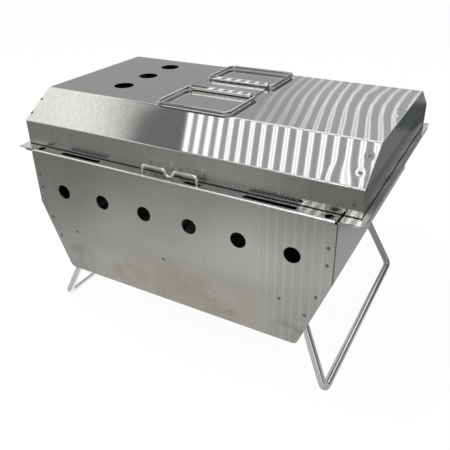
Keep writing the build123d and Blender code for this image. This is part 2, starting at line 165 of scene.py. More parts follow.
def steel_grey(tree, shade, dark=STEEL_DARK, light=STEEL_LIGHT):
    """The colour for a shade, which runs from 0 for dark to 1 for light."""
    return blend_colours(tree, math(tree, "ADD", shade, 0.0, clamp=True), dark, light)


class Finish:
    """A metal finish that reads the grill's own coordinates."""

    def __init__(self, name):
        self.material = bpy.data.materials.new(name)
        self.material.use_nodes = True
        self.tree = self.material.node_tree
        self.tree.nodes.clear()
        self.place = node(self.tree, "ShaderNodeTexCoord").outputs["Object"]
        split = node(self.tree, "ShaderNodeSeparateXYZ", {0: self.place})
        self.x, self.y, self.z = split.outputs[0], split.outputs[1], split.outputs[2]
        self.out_x = math(self.tree, "ABSOLUTE", self.x)
        self.out_y = math(self.tree, "ABSOLUTE", self.y)

    def noise(self, **kind):
        """Noise from 0 to 1 over the grill."""
        return noise(self.tree, self.place, **kind)

    def spot(self, centre_x, centre_z, half_width, half_height, core=0.05):
        """A soft oval on an upright face: 1 in its core, 0 outside."""
        tree = self.tree
        across = math(tree, "DIVIDE", difference(tree, self.x, centre_x), half_width)
        along = math(tree, "DIVIDE", difference(tree, self.z, centre_z), half_height)
        far = total(tree, product(tree, across, across), product(tree, along, along))
        return fade(tree, far, 1.0, core)

    def steel(self, colour, roughness, height=None, bare=1.0):
        """Steel: colour, roughness and its relief's height in metres. Bare is 0 where a gap's
        shadow is painted.
        """
        inputs = {
            "Base Color": colour,
            "Roughness": roughness,
            "Metallic": bare,
            "Specular IOR Level": 0.0,
        }
        if height is not None:
            relief = {"Height": height, "Distance": 1.0, "Strength": 1.0}
            inputs["Normal"] = node(self.tree, "ShaderNodeBump", relief).outputs[0]
        shader = node(self.tree, "ShaderNodeBsdfPrincipled", inputs)
        node(self.tree, "ShaderNodeOutputMaterial", {"Surface": shader.outputs[0]})
        return self.material


# Noises of the trough's sheet, in features per metre, and how far each one changes the grey
BODY_CLOUDS = {"scale": 13.0, "detail": 3.0}
BODY_MOTTLING = {"scale": 240.0, "stretch": (1, 1, 4), "detail": 3.0, "roughness": 0.6}
BODY_GRAIN = {"scale": 1300.0, "stretch": (1, 1, 30), "detail": 2.0}
BODY_SHADE = 0.5
BODY_CLOUDS_SHADE = 0.16
BODY_MOTTLING_SHADE = 0.12
BODY_GRAIN_SHADE = 0.07
# Painted reflection shade: both ends are darker, and painted light makes the lower middle lighter
RIGHT_END_X = (0.10, 0.16)
RIGHT_END_PAINTED_SHADE = -0.10
LEFT_END_X = (-0.07, -0.12)
LEFT_END_PAINTED_SHADE = -0.12
LOW_MIDDLE_Z = (0.130, 0.100)
LOW_MIDDLE_X = (0.150, 0.100)
LOW_MIDDLE_PAINTED_LIGHT = 0.18
# Pale upright streaks: the first one's place, their pitch, and their width in parts of it
STREAK_START = 0.1175
STREAK_PITCH = 0.0100
STREAK_WIDTH = (0.30, 0.46)
STREAKS_BEGIN_X = (0.10, 0.125)
STREAKS_END_X = (0.197, 0.185)
STREAK_PATCHES = {"scale": 30.0, "stretch": (1, 1, 8), "detail": 1.0}
STREAK_SHADE = 0.12


def body_shade(finish, clouds, mottling, grain):
    """Shade of the satin faces, with pale upright streaks towards the right end, and painted
    reflection shade and light.
    """
    tree, x = finish.tree, finish.x
    turns = math(tree, "DIVIDE", difference(tree, x, STREAK_START), STREAK_PITCH)
    apart = math(tree, "ABSOLUTE", difference(tree, math(tree, "FRACT", turns), 0.5))
    streak = fade(tree, apart, *STREAK_WIDTH)
    reach = product(tree, fade(tree, x, *STREAKS_BEGIN_X), fade(tree, x, *STREAKS_END_X))
    patchy = fade(tree, finish.noise(**STREAK_PATCHES), 0.3, 0.6, low=0.4)
    painted_low_middle_light = product(
        tree,
        fade(tree, finish.z, *LOW_MIDDLE_Z),
        fade(tree, finish.out_x, *LOW_MIDDLE_X),
        LOW_MIDDLE_PAINTED_LIGHT,
    )
    return total(
        tree,
        BODY_SHADE,
        swing(tree, clouds, BODY_CLOUDS_SHADE),
        swing(tree, mottling, BODY_MOTTLING_SHADE),
        swing(tree, grain, BODY_GRAIN_SHADE),
        product(tree, streak, reach, patchy, STREAK_SHADE),
        # Painted reflection shade at both ends, and painted light in the lower middle
        fade(tree, x, *RIGHT_END_X, high=RIGHT_END_PAINTED_SHADE),
        fade(tree, x, *LEFT_END_X, high=LEFT_END_PAINTED_SHADE),
        painted_low_middle_light,
    )


# Heat marks of the front panel: middle, half width and half height, and strength
HEAT_MARKS = [
    (0.006, 0.126, 0.016, 0.011, 0.60),
    (0.020, 0.131, 0.012, 0.008, 0.5),
    (0.022, 0.100, 0.062, 0.024, 0.55),
    (0.064, 0.087, 0.036, 0.015, 1.0),
    (0.158, 0.088, 0.030, 0.016, 0.8),
    (-0.060, 0.092, 0.070, 0.018, 0.45),
    (-0.140, 0.100, 0.030, 0.020, 0.45),
]
HEAT_PATCHES = {"scale": 60.0, "stretch": (1.3, 1, 1), "detail": 4.0, "roughness": 0.65}
HEAT_PATCH_EDGE = (0.36, 0.66)
# The strip along the floor, by its height over it, and its strength
HEATED_STRIP = (0.045, 0.002)
HEATED_STRIP_STRENGTH = 0.22


def heat_marks(finish):
    """Brownish heat marks near the floor: 0 where there are none."""
    tree = finish.tree
    patches = fade(tree, finish.noise(**HEAT_PATCHES), *HEAT_PATCH_EDGE)
    above_floor = [FLOOR_SHEET_Z + height for height in HEATED_STRIP]
    marks = fade(tree, finish.z, *above_floor, high=HEATED_STRIP_STRENGTH)
    for centre_x, centre_z, half_width, half_height, strength in HEAT_MARKS:
        oval = finish.spot(centre_x, centre_z, half_width, half_height)
        marks = math(tree, "MAXIMUM", marks, product(tree, oval, strength))
    return product(tree, marks, patches)


HEAT_BROWN = (0.27, 0.23, 0.165)
HEAT_SHARE = 0.72
# A faint warm tint low in the panel's middle
WARM_TINT = (0.50, 0.475, 0.405)
WARM_Z = (0.150, 0.105)
WARM_LEFT_X = (-0.15, -0.03)
WARM_RIGHT_X = (0.15, 0.09)
WARM_CLOUDS = (0.35, 0.6)
WARM_RANGE = {"low": 0.4, "high": 0.8}


def warm_tint(finish, clouds):
    """Share of the warm tint."""
    tree = finish.tree
    return product(
        tree,
        fade(tree, finish.z, *WARM_Z),
        fade(tree, finish.x, *WARM_LEFT_X),
        fade(tree, finish.x, *WARM_RIGHT_X),
        fade(tree, clouds, *WARM_CLOUDS, **WARM_RANGE),
    )


# Specks: cells per metre, the speck's edge in its cell, and how rare it is
SPECK_CELLS = 30.0
SPECK_EDGE = (0.04, 0.02)
SPECK_RARE = (0.80, 0.82)
SPECK_SHARE = 0.7
SCRATCHES = {"scale": 300.0, "stretch": (1, 1, 9), "detail": 0.0, "shift": (0.3, 0, 0.1)}
SCRATCH_EDGE = (0.79, 0.83)
SCRATCH_SHARE = 0.10
SPECK_DARK = (0.10, 0.095, 0.085)


def specks_and_scratches(finish):
    """A few dark specks and short upright scratches: their share of the dark colour."""
    tree = finish.tree
    cells = {"Vector": finish.place, "Scale": SPECK_CELLS, "Randomness": 1.0}
    specks = node(tree, "ShaderNodeTexVoronoi", cells).outputs
    rare = node(tree, "ShaderNodeSeparateColor", {0: specks["Color"]}).outputs[0]
    dot = fade(tree, specks["Distance"], *SPECK_EDGE)
    speck = product(tree, dot, fade(tree, rare, *SPECK_RARE))
    scratch = fade(tree, finish.noise(**SCRATCHES), *SCRATCH_EDGE)
    return math(
        tree,
        "MAXIMUM",
        product(tree, speck, SPECK_SHARE),
        product(tree, scratch, SCRATCH_SHARE),
    )


# Painted shadow of the unmodelled gap in the seam beside each panel's end
# The seam: how far its ragged inner side lies inside the panel's end, how blurred each side is,
# how far in from the panel's face it is dark, and where it starts below the kink
SEAM_INSET = 0.0002
SEAM_RAGGED = {"scale": 140.0, "stretch": (1, 1, 2), "detail": 2.0}
SEAM_RAGGED_WIDTH = 0.0009
SEAM_INNER_SIDE = (-0.0001, 0.0002)
SEAM_OUTER_BLUR = 0.0001
SEAM_DEPTH = (0.0014, 0.0012)
SEAM_BELOW_KINK = (0.010, 0.004)
SEAM_SHADOW_SHARE = 0.85


def painted_seam_shadow(finish):
    """1 in the painted shadow of the seam between each long panel's end and the trough."""
    tree = finish.tree
    ragged = product(tree, finish.noise(**SEAM_RAGGED), SEAM_RAGGED_WIDTH)
    seam_start = difference(tree, PANEL_HALF_LENGTH - SEAM_INSET, ragged)
    inside = difference(tree, finish.out_x, seam_start)
    return product(
        tree,
        fade(tree, inside, *SEAM_INNER_SIDE),
        fade(tree, finish.out_x, PANEL_HALF_LENGTH + SEAM_OUTER_BLUR, PANEL_HALF_LENGTH),
        fade(tree, finish.out_y, *[PANEL_OUT_Y - depth for depth in SEAM_DEPTH]),
        fade(tree, finish.z, *[KINK_Z - below for below in SEAM_BELOW_KINK]),
    )


# The rim's faces, by how far they lie below its top and in from the panel's face and end
RIM_BELOW = (0.0022, 0.0012)
BEND_DEPTH = (0.0026, 0.0016)
BEND_END = (0.002, 0.004)
LEDGE_END = (0.0, 0.001)
# Painted reflection shade: the ledges are darker, the front one more so towards the right end
LEDGE_PAINTED_SHADE = (0.16, 0.16, 0.155)
LEDGE_PAINTED_SHADE_X = (0.08, 0.14)
LEDGE_PAINTED_SHADE_SHARE = {"low": 0.30, "high": 0.52}
# Painted highlights: the bends over the panels are bright, less so to the left
BEND_PAINTED_HIGHLIGHT = (0.98, 0.98, 0.97)
BEND_PAINTED_HIGHLIGHT_X = (-0.15, 0.05)
BEND_PAINTED_HIGHLIGHT_LEFT = 0.55
# Painted reflection: the right flange gets brighter outwards and towards the rear
FLANGE_BELOW = (0.0060, 0.0045)
FLANGE_OUT = (0.010, 0.013)
FLANGE_PAINTED_HIGHLIGHT_Y = (-0.15, 0.08)
FLANGE_PAINTED_HIGHLIGHT_FRONT = 0.30


def rim_colour(finish, light, rim, bend):
    """The faces' colour with the rim's painted light added: shaded ledges, highlighted bends and a
    brighter right flange.
    """
    tree, x = finish.tree, finish.x
    ledge_ends = [PANEL_HALF_LENGTH - inside for inside in LEDGE_END]
    on_ledge = product(tree, rim, fade(tree, finish.out_x, *ledge_ends))
    ledge_painted_shade = product(tree, on_ledge, fade(tree, x, *LEDGE_PAINTED_SHADE_X, **LEDGE_PAINTED_SHADE_SHARE))
    light = blend_colours(tree, ledge_painted_shade, light, LEDGE_PAINTED_SHADE)
    bright = product(tree, bend, fade(tree, x, *BEND_PAINTED_HIGHLIGHT_X, low=BEND_PAINTED_HIGHLIGHT_LEFT))
    light = blend_colours(tree, bright, light, BEND_PAINTED_HIGHLIGHT)
    flange = product(
        tree,
        fade(tree, finish.z, *[RIM_Z - below for below in FLANGE_BELOW]),
        fade(tree, x, *[PANEL_HALF_LENGTH + out for out in FLANGE_OUT]),
        fade(tree, finish.y, *FLANGE_PAINTED_HIGHLIGHT_Y, low=FLANGE_PAINTED_HIGHLIGHT_FRONT),
    )
    return blend_colours(tree, flange, light, PAINTED_HIGHLIGHT_STEEL)


# Roughness of the faces, of the smoother rim and of its bends
BODY_ROUGHNESS = 0.23
MOTTLING_ROUGHNESS = 0.12
HEAT_ROUGHNESS = 0.12
RIM_ROUGHNESS = 0.035
BEND_ROUGHNESS = 0.15
# Heights of the fine relief, and of the rim's slow waves
GRAIN_HEIGHT = 0.000004
MOTTLING_HEIGHT = 0.000010
RIM_WAVES = {"scale": 26.0, "detail": 1.0, "shift": (0.4, 0.1, 0)}
RIM_WAVE_HEIGHT = 0.00003


# Sheet of the trough and its panels: satin faces with fine upright mottling, faint clouds, heat
# marks and specks, painted shadow in the seams beside the panels, painted reflection shade and
# light, and a smoother rim with painted highlights
def body_sheet_finish():
    finish = Finish("body_sheet_steel")
    tree = finish.tree
    clouds = finish.noise(**BODY_CLOUDS)
    mottling = finish.noise(**BODY_MOTTLING)
    grain = finish.noise(**BODY_GRAIN)
    light = steel_grey(tree, body_shade(finish, clouds, mottling, grain))
    heat = heat_marks(finish)
    light = blend_colours(tree, product(tree, heat, HEAT_SHARE), light, HEAT_BROWN)
    light = blend_colours(tree, warm_tint(finish, clouds), light, WARM_TINT)
    light = blend_colours(tree, specks_and_scratches(finish), light, SPECK_DARK)
    # Painted shadow in the seams beside the panels
    light = blend_colours(tree, product(tree, painted_seam_shadow(finish), SEAM_SHADOW_SHARE), light, PAINTED_GAP_SHADOW)
    rim = fade(tree, finish.z, *[RIM_Z - below for below in RIM_BELOW])
    bend = product(
        tree,
        rim,
        fade(tree, finish.out_y, *[PANEL_OUT_Y - depth for depth in BEND_DEPTH]),
        fade(tree, finish.out_x, *[PANEL_HALF_LENGTH - inside for inside in BEND_END]),
    )
    # Painted light on the rim: shaded ledges, highlighted bends and a brighter right flange
    light = rim_colour(finish, light, rim, bend)
    face_roughness = total(
        tree,
        BODY_ROUGHNESS,
        swing(tree, mottling, MOTTLING_ROUGHNESS),
        product(tree, heat, HEAT_ROUGHNESS),
    )
    roughness = total(
        tree,
        product(tree, face_roughness, inverse(tree, rim)),
        product(tree, rim, RIM_ROUGHNESS),
        product(tree, bend, BEND_ROUGHNESS),
    )
    fine = total(tree, product(tree, grain, GRAIN_HEIGHT), product(tree, mottling, MOTTLING_HEIGHT))
    waves = product(tree, finish.noise(**RIM_WAVES), rim, RIM_WAVE_HEIGHT)
    relief = total(tree, product(tree, fine, inverse(tree, rim)), waves)
    return finish.steel(light, roughness, relief)


# Parts of the lid's sheet, by how far they lie below its folds or in from its ends
WALL_BELOW_FOLD = (0.0010, 0.0020)
BEVEL_ABOVE_FOLD = (-0.0010, 0.0)
BEVEL_BELOW_TOP = (0.0002, 0.0010)
TOP_BELOW_TOP = (0.0008, 0.0002)
END_PLATE_INSIDE = (0.0009, 0.0006)
BRACKET_ABOVE_TOP = (0.0007, 0.0010)
BRACKET_END_INSIDE = (0.0006, 0.0003)
# The brushed part of the bevels, towards the left
BRUSHED_X = (-0.015, -0.085)
# Noises of the lid's sheet, in features per metre, and how far each one changes the shade
LID_CLOUDS = {"scale": 17.0, "detail": 3.0}
LID_GRAIN = {"scale": 800.0, "stretch": (1, 12, 12), "detail": 3.0, "roughness": 0.65}
BEVEL_FLECKS = {"scale": 210.0, "stretch": (1, 1.7, 1.7), "detail": 4.0, "roughness": 0.62}
WALL_UPRIGHTS = {"scale": 90.0, "stretch": (1, 1, 9), "detail": 2.0}
LID_SHADE = 0.68
LID_CLOUDS_SHADE = 0.10
LID_GRAIN_SHADE = 0.06
BEVEL_FLECKS_SHADE = 0.55
WALL_UPRIGHTS_SHADE = 0.18
# Painted reflection shade: the walls are darker, more so towards the right, and the right end
# towards the rear
WALL_PAINTED_SHADE_X = (0.07, 0.19)
WALL_PAINTED_SHADE = {"low": -0.16, "high": -0.56}
RIGHT_HALF_X = (0.0, 0.1)
END_REAR_Y = (0.05, 0.10)
END_REAR_PAINTED_SHADE = -0.30


class LidParts:
    """Where each part of the lid's sheet lies: 1 on it, else 0."""

    def __init__(self, finish):
        tree, z = finish.tree, finish.z
        self.wall = fade(tree, z, *[LID_WALL_Z - below for below in WALL_BELOW_FOLD])
        end_inside = [LID_HALF_LENGTH - inside for inside in END_PLATE_INSIDE]
        self.end_plate = fade(tree, finish.out_x, *end_inside)
        self.satin = math(tree, "MAXIMUM", self.wall, self.end_plate)
        self.bracket = fade(tree, z, *[LID_TOP_Z + above for above in BRACKET_ABOVE_TOP])
        bevel = product(
            tree,
            fade(tree, z, *[LID_TOP_Z - below for below in BEVEL_BELOW_TOP]),
            fade(tree, z, *[LID_WALL_Z + above for above in BEVEL_ABOVE_FOLD]),
        )
        self.brushed = product(tree, fade(tree, finish.x, *BRUSHED_X), bevel)
        on_top = fade(tree, z, *[LID_TOP_Z - below for below in TOP_BELOW_TOP])
        self.top = product(tree, on_top, inverse(tree, self.bracket))


def lid_shade(finish, parts, grain):
    """Shade of the lid's sheet, with painted reflection shade on the walls and at the right end's
    rear.
    """
    tree = finish.tree
    painted_end_rear_shade = product(
        tree,
        parts.end_plate,
        fade(tree, finish.x, *RIGHT_HALF_X),
        fade(tree, finish.y, *END_REAR_Y, high=END_REAR_PAINTED_SHADE),
    )
    return total(
        tree,
        LID_SHADE,
        swing(tree, finish.noise(**LID_CLOUDS), LID_CLOUDS_SHADE),
        swing(tree, grain, LID_GRAIN_SHADE),
        product(tree, swing(tree, finish.noise(**BEVEL_FLECKS), BEVEL_FLECKS_SHADE), parts.brushed),
        product(tree, swing(tree, finish.noise(**WALL_UPRIGHTS), WALL_UPRIGHTS_SHADE), parts.wall),
        # Painted reflection shade on the walls and at the right end's rear
        product(tree, parts.wall, fade(tree, finish.x, *WALL_PAINTED_SHADE_X, **WALL_PAINTED_SHADE)),
        painted_end_rear_shade,
    )


# The bracket's rolls: their axes and radius, and where they begin, in from the axes
ROLL_Y = 0.024
ROLL_Z = 0.30115
ROLL_RADIUS = 0.00315
ROLL_INSIDE = (0.0034, 0.0032)
# Each has a flat along the side that faces up and to the front: its direction and its reach to
# each side in radians, the blur of its edges, and how flat it is
ROLL_FLAT_TURN = 1.05
ROLL_FLAT_REACH = 0.80
ROLL_FLAT_EDGE = (0.15, 0.05)
ROLL_FLATNESS = 0.96
ROLL_GREY = (0.56, 0.56, 0.55)


class Rolls:
    """Where the bracket's rolls and their flats lie."""

    def __init__(self, finish, parts):
        tree = finish.tree
        roll_begins = [ROLL_Y - inside for inside in ROLL_INSIDE]
        self.on_roll = product(tree, parts.bracket, fade(tree, finish.out_y, *roll_begins))
        axis_y = product(tree, math(tree, "SIGN", finish.y), ROLL_Y)
        rise = difference(tree, finish.z, ROLL_Z)
        turn = math(tree, "ARCTAN2", rise, difference(tree, axis_y, finish.y))
        # Angle from the flat's middle
        self.angle = math(tree, "ABSOLUTE", difference(tree, turn, ROLL_FLAT_TURN))
        flat_edge = [ROLL_FLAT_REACH - inside for inside in ROLL_FLAT_EDGE]
        # Beside each flat the roll gets a painted highlight
        self.beside_flat = product(tree, self.on_roll, fade(tree, self.angle, *flat_edge))

    def relief(self, tree):
        """Relief that takes the curve out of each flat's shading."""
        on_flat = math(tree, "MINIMUM", self.angle, ROLL_FLAT_REACH)
        return product(tree, on_flat, on_flat, self.on_roll, ROLL_FLATNESS * ROLL_RADIUS / 2)


# The bracket's web between the rolls is wrinkled, in two greys
WEB_WRINKLES = {"scale": 420.0, "detail": 2.0}
WEB_WRINKLE_EDGE = (0.38, 0.62)
WEB_DARK = (0.58, 0.58, 0.57)
WEB_LIGHT = (0.92, 0.92, 0.91)
WEB_INSIDE = (0.004, 0.005)
WEB_RIPPLES = {"scale": 190.0, "detail": 1.0, "shift": (0.3, 0.1, 0)}
WEB_RIPPLE_HEIGHT = 0.00006
# Painted shadow: dark lines where the walls and the end plates stand on the rim, by their height
# over it
WALL_FOOT_SHADOW = (0.0012, 0.0008)
END_FOOT_SHADOW = (0.0022, 0.0014)
FOOT_SHADOW_SHARE = 0.96


def painted_foot_shadow(finish, parts):
    """1 in the painted shadow line along the lid's foot."""
    tree, z = finish.tree, finish.z
    wall_foot = fade(tree, z, *[RIM_Z + above for above in WALL_FOOT_SHADOW])
    end_foot = product(tree, fade(tree, z, *[RIM_Z + above for above in END_FOOT_SHADOW]), parts.end_plate)
    return math(tree, "MAXIMUM", wall_foot, end_foot)


def lid_colour(finish, parts, rolls, grain, foot):
    """Colour of the lid's sheet and bracket, with painted highlights, painted shade and a painted
    foot shadow.
    """
    tree = finish.tree
    light = steel_grey(tree, lid_shade(finish, parts, grain))
    wrinkles = fade(tree, finish.noise(**WEB_WRINKLES), *WEB_WRINKLE_EDGE)
    web = blend_colours(tree, wrinkles, WEB_DARK, WEB_LIGHT)
    light = blend_colours(tree, parts.bracket, light, web)
    light = blend_colours(tree, rolls.on_roll, light, ROLL_GREY)
    # Painted highlight beside the rolls' flats
    light = blend_colours(tree, rolls.beside_flat, light, PAINTED_HIGHLIGHT_STEEL)
    # Painted shade inside the bracket's open ends
    end_inside = [BRACKET_HALF_LENGTH - inside for inside in BRACKET_END_INSIDE]
    shaded_open_ends = product(tree, parts.bracket, fade(tree, finish.out_x, *end_inside))
    light = blend_colours(tree, shaded_open_ends, light, PAINTED_GAP_SHADOW)
    # Painted shadow along the lid's foot
    return blend_colours(tree, product(tree, foot, FOOT_SHADOW_SHARE), light, PAINTED_GAP_SHADOW)


# Roughness of the bevels and top, what brushing adds, and that of walls and end plates
LID_ROUGHNESS = 0.035
BRUSHED_ROUGHNESS = 0.17
WALL_ROUGHNESS = 0.24
END_ROUGHNESS = 0.11
SATIN_GRAIN_ROUGHNESS = 0.04
# The walls are smoother near the right foot, where the rim shows as short bright wisps, apart from
# a dull part beside the ledge's round hole
SMOOTH_FOOT_ABOVE = (0.012, 0.007)
SMOOTH_FOOT_X = (0.153, 0.157)
SMOOTH_FOOT_ROUGHNESS = 0.12
DULL_X = 0.190
DULL_REACH = (0.007, 0.011)
BRACKET_ROUGHNESS_SHARE = 0.7
BESIDE_FLAT_ROUGHNESS = 0.30


def lid_roughness(finish, parts, rolls, grain):
    """Roughness of the lid's sheet and of its bracket."""
    tree = finish.tree
    from_dull = math(tree, "ABSOLUTE", difference(tree, finish.x, DULL_X))
    smooth_foot = product(
        tree,
        fade(tree, finish.z, *[RIM_Z + above for above in SMOOTH_FOOT_ABOVE]),
        fade(tree, finish.x, *SMOOTH_FOOT_X),
        fade(tree, from_dull, *DULL_REACH),
    )
    satin = fade(tree, parts.end_plate, 0.0, 1.0, low=WALL_ROUGHNESS, high=END_ROUGHNESS)
    foot_share = fade(tree, smooth_foot, 0.0, 1.0, low=1.0, high=SMOOTH_FOOT_ROUGHNESS)
    roughness = total(
        tree,
        LID_ROUGHNESS,
        product(tree, parts.brushed, BRUSHED_ROUGHNESS),
        product(tree, parts.satin, product(tree, satin, foot_share)),
        product(tree, swing(tree, grain, SATIN_GRAIN_ROUGHNESS), parts.satin),
    )
    bracket_share = fade(tree, parts.bracket, 0.0, 1.0, low=1.0, high=BRACKET_ROUGHNESS_SHARE)
    roughness = product(tree, roughness, bracket_share)
    return total(tree, roughness, product(tree, rolls.beside_flat, BESIDE_FLAT_ROUGHNESS))


# The lid's welds: along X and out from the middle, on its right half, its left half and its top
RIGHT_BEVEL_WELDS = [(0.2108, 0.1104), (0.2078, 0.1281)]
LEFT_BEVEL_WELDS = [(-0.2166, 0.1128), (-0.2166, 0.1325)]
TOP_WELD = (0.2108, 0.0120)
# Radius and depth by which a weld pulls the sheet in, and of a hollow low in each bevel
WELD_PULL = (0.006, 0.00003)
HOLLOW_PLACE = (0.1954, 0.1404)
HOLLOW = (0.024, 0.00011)
# Slow waves of the top, higher towards the right end
TOP_WAVES = {"scale": 13.0, "detail": 1.0, "shift": (0.21, 0.05, 0)}
TOP_WAVES_X = (0.03, 0.16)
TOP_WAVE_HEIGHT = {"low": 0.00004, "high": 0.00014}


def lid_relief(finish, parts, rolls):
    """Height of the lid's fine relief."""
    tree = finish.tree
    wave_height = fade(tree, finish.x, *TOP_WAVES_X, **TOP_WAVE_HEIGHT)
    waves = product(tree, product(tree, finish.noise(**TOP_WAVES), wave_height), parts.top)
    web_edge = [ROLL_Y - inside for inside in WEB_INSIDE]
    web = product(tree, parts.bracket, fade(tree, finish.out_y, *web_edge))
    ripples = product(tree, finish.noise(**WEB_RIPPLES), web, WEB_RIPPLE_HEIGHT)
    relief = total(tree, waves, ripples, rolls.relief(tree))
    pulls = [(weld, *WELD_PULL) for weld in RIGHT_BEVEL_WELDS + [TOP_WELD]]
    for (dent_x, dent_y), radius, depth in pulls + [(HOLLOW_PLACE, *HOLLOW)]:
        across = difference(tree, finish.x, dent_x)
        along = difference(tree, finish.out_y, dent_y)
        squares = total(tree, product(tree, across, across), product(tree, along, along))
        away = math(tree, "SQRT", squares)
        dent = product(tree, fade(tree, away, radius, 0.0), inverse(tree, parts.satin), -depth)
        relief = total(tree, relief, dent)
    return relief


# Sheet of the lid: nearly a mirror, brushed towards its left end, a little wavy on top towards its
# right end, with satin walls and ends, painted reflection shade on them, painted highlights and
# shade on the bracket, and a painted shadow along the foot
def lid_sheet_finish():
    finish = Finish("lid_sheet_steel")
    tree = finish.tree
    parts = LidParts(finish)
    rolls = Rolls(finish, parts)
    grain = finish.noise(**LID_GRAIN)
    foot = painted_foot_shadow(finish, parts)
    light = lid_colour(finish, parts, rolls, grain, foot)
    roughness = lid_roughness(finish, parts, rolls, grain)
    relief = lid_relief(finish, parts, rolls)
    # The end plates' foot is a painted shadow of a gap, dark and not bare metal, also where it is
    # seen at a low angle
    gap = product(tree, foot, parts.end_plate)
    return finish.steel(light, roughness, relief, bare=inverse(tree, gap))


# Mill-finish sheet of the inner pieces
INNER_CLOUDS = {"scale": 20.0, "detail": 3.0}
INNER_GRAIN = {"scale": 700.0, "stretch": (12, 1, 1), "detail": 2.0}
INNER_SHADE = 0.5
INNER_CLOUDS_SHADE = 0.5
INNER_GRAIN_SHADE = 0.3
MILL_DARK = (0.30, 0.29, 0.275)
MILL_LIGHT = (0.62, 0.61, 0.59)
INNER_ROUGHNESS = 0.24
INNER_GRAIN_ROUGHNESS = 0.12
INNER_GRAIN_HEIGHT = 0.00001


def inner_sheet_finish():
    finish = Finish("inner_sheet_steel")
    tree = finish.tree
    grain = finish.noise(**INNER_GRAIN)
    shade = total(
        tree,
        INNER_SHADE,
        swing(tree, finish.noise(**INNER_CLOUDS), INNER_CLOUDS_SHADE),
        swing(tree, grain, INNER_GRAIN_SHADE),
    )
    light = steel_grey(tree, shade, MILL_DARK, MILL_LIGHT)
    roughness = total(tree, product(tree, grain, INNER_GRAIN_ROUGHNESS), INNER_ROUGHNESS)
    return finish.steel(light, roughness, product(tree, grain, INNER_GRAIN_HEIGHT))


# Polished round rod, cloudy between two colours: a leg's and a bail's, and the damper's warm pull
ROD_CLOUDS = {"scale": 50.0, "detail": 3.0}
ROD_ROUGHNESS = 0.07
ROD_CLOUDS_ROUGHNESS = 0.04
ROD_COLOURS = ((0.64, 0.64, 0.635), (0.82, 0.82, 0.81))
# Painted light and shade: the legs and the bails are lighter and darker copies of the same polished
# steel
LEFT_LEG_PAINTED_LIGHT = ((0.74, 0.74, 0.735), (0.93, 0.93, 0.92))
RIGHT_LEG_PAINTED_LIGHT = ((0.68, 0.68, 0.675), (0.87, 0.87, 0.86))
BAIL_PAINTED_SHADE = ((0.33, 0.33, 0.325), (0.50, 0.50, 0.49))
PULL_COLOURS = ((0.80, 0.775, 0.73), (0.97, 0.94, 0.89))
# Painted shade: the right leg is darker towards the rear
PAINTED_SHADE_GREY = (0.30, 0.30, 0.295)
PAINTED_SHADE_Y = (-0.04, 0.08)
RIGHT_LEG_PAINTED_REAR_SHADE = 0.68


def polished_rod_finish(name, colours, painted_rear_shade=0.0):
    """Painted rear shade is the share of the painted shade grey at the rear."""
    finish = Finish(name)
    tree = finish.tree
    clouds = finish.noise(**ROD_CLOUDS)
    colour = blend_colours(tree, clouds, *colours)
    if painted_rear_shade:
        rear = fade(tree, finish.y, *PAINTED_SHADE_Y, high=painted_rear_shade)
        colour = blend_colours(tree, rear, colour, PAINTED_SHADE_GREY)
    roughness = total(tree, product(tree, clouds, ROD_CLOUDS_ROUGHNESS), ROD_ROUGHNESS)
    return finish.steel(colour, roughness)


# Bright drawn wire of the cooking grate
WIRE_MARKS = {"scale": 300.0, "detail": 3.0}
WIRE_DARK = (0.42, 0.42, 0.41)
WIRE_LIGHT = (0.66, 0.66, 0.65)
WIRE_ROUGHNESS = 0.14
WIRE_MARKS_ROUGHNESS = 0.14
WIRE_MARK_HEIGHT = 0.00002


def grate_wire_finish():
    finish = Finish("grate_wire_steel")
    tree = finish.tree
    marks = finish.noise(**WIRE_MARKS)
    light = blend_colours(tree, marks, WIRE_DARK, WIRE_LIGHT)
    roughness = total(tree, product(tree, marks, WIRE_MARKS_ROUGHNESS), WIRE_ROUGHNESS)
    return finish.steel(light, roughness, product(tree, marks, WIRE_MARK_HEIGHT))


# Finishes by the record's slots, and those of pieces that differ from their slot's: the pull's warm
# wire, and legs and bails with painted light and shade
finishes = {
    "body_sheet": body_sheet_finish(),
    "lid_sheet": lid_sheet_finish(),
    "inner_sheet": inner_sheet_finish(),
    "polished_rod": polished_rod_finish("polished_rod_steel", ROD_COLOURS),
    "grate_wire": grate_wire_finish(),
}
bail_finish = polished_rod_finish("bail_rod_steel", BAIL_PAINTED_SHADE)
own_finishes = {
    "front_bail": bail_finish,
    "rear_bail": bail_finish,
    "damper_pull": polished_rod_finish("pull_wire_steel", PULL_COLOURS),
    "left_leg": polished_rod_finish("left_leg_steel", LEFT_LEG_PAINTED_LIGHT),
    "right_leg": polished_rod_finish("right_leg_steel", RIGHT_LEG_PAINTED_LIGHT, RIGHT_LEG_PAINTED_REAR_SHADE),
}
for subpart in frame["record"]["subparts"]:
    piece = nodes[subpart["node"]]
    for slot in piece.material_slots:
        slot.material = own_finishes.get(subpart["node"], finishes[subpart["material_slot"]])


# Spot weld marks: shallow dished rings pressed into the sheet. Rings are in parts of the radius.
WELD_RADIUS = 0.0020
WELD_RISE = 0.00012
WELD_GAP = 0.00002
WELD_SIDES = 20
WELD_RINGS_LEVEL = 2
DISH_EDGE = (0.35, 0.75)
RIM_FALL = (1.0, 0.8)
# A dark burnt ring round a brighter dish
BURNT_INSIDE = (0.42, 0.62)
BURNT_OUTSIDE = (1.0, 0.82)
BURNT_DARK = (0.11, 0.105, 0.095)
DISH_GREY = (0.30, 0.29, 0.27)
WELD_MARKS = {"scale": 900.0, "detail": 3.0}
WELD_MARKS_SHADE = 0.6
WELD_ROUGHNESS = 0.22
WELD_MARKS_ROUGHNESS = 0.2


